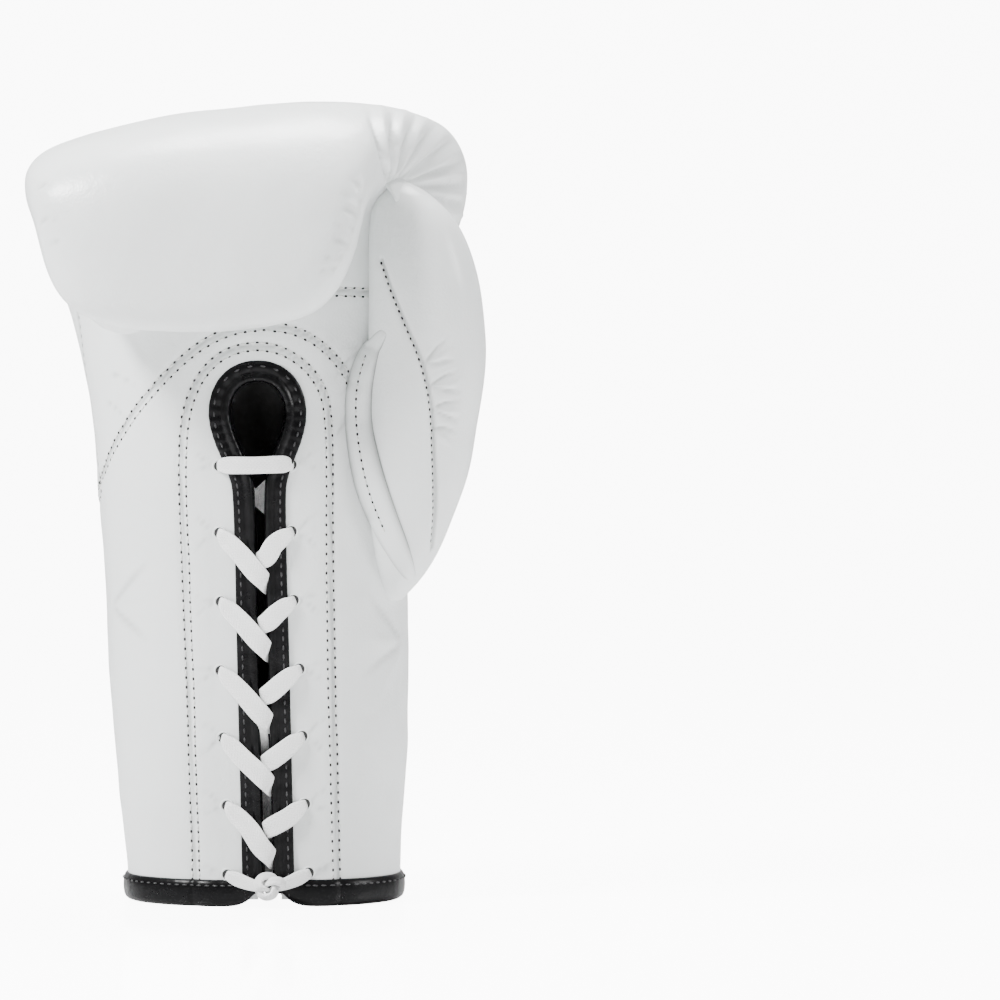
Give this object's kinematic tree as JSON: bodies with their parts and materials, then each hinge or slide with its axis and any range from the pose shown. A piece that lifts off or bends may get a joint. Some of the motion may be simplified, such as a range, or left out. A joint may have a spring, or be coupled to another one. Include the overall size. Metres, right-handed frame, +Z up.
{
  "type": "boxing glove",
  "caption": "Laced boxing glove for the right hand: padded fist with a curled finger roll, attached thumb, bound lacing slot and cuff.",
  "frame": {"origin": "centre of the cuff's mouth, on the surface the glove stands on", "axes": "+Z up the glove from the cuff to the knuckles, -Y faces the laced palm side, +X points to the thumb side"},
  "size_m": [0.1662, 0.1335, 0.2988],
  "materials": {
    "white_leather": "satin",
    "black_binding": "gloss",
    "padding": "matte",
    "black_satin": "satin",
    "lace_white": "matte"
  },
  "bodies": {
    "mitt": {"fist_cover": "white_leather", "palm_panel": "white_leather", "wrist_panel_pinky": "white_leather", "wrist_panel_thumb": "white_leather", "cuff_back_panel": "white_leather", "lace_placket": "white_leather", "keyhole_binding": "black_binding", "cuff_hem_binding": "black_binding", "knuckle_foam_outer": "padding", "knuckle_foam_inner": "padding", "finger_foam": "padding", "backhand_foam": "padding", "palm_foam": "padding", "cuff_foam_back": "padding", "cuff_foam_pinky": "padding", "cuff_foam_thumb": "padding", "hand_lining": "black_satin", "grip_bar": "black_satin", "lace": "lace_white", "lace_knot": "lace_white", "lace_tail": "lace_white", "thumb_gusset": "white_leather", "thumb_lock_tab": "white_leather"},
    "thumb": {"thumb_cover_outer": "white_leather", "thumb_cover_inner": "white_leather", "thumb_foam": "padding", "thumb_lining": "black_satin"}
  },
  "joints": [
    {"name": "thumb_flex", "type": "hinge", "parent": "mitt", "child": "thumb", "pos_m": [0.05, -0.014, 0.19], "axis": [-0.02, -0.0599, 0.998], "range_deg": [0, 8], "stiffness_Nm_per_rad": 2}
  ]
}
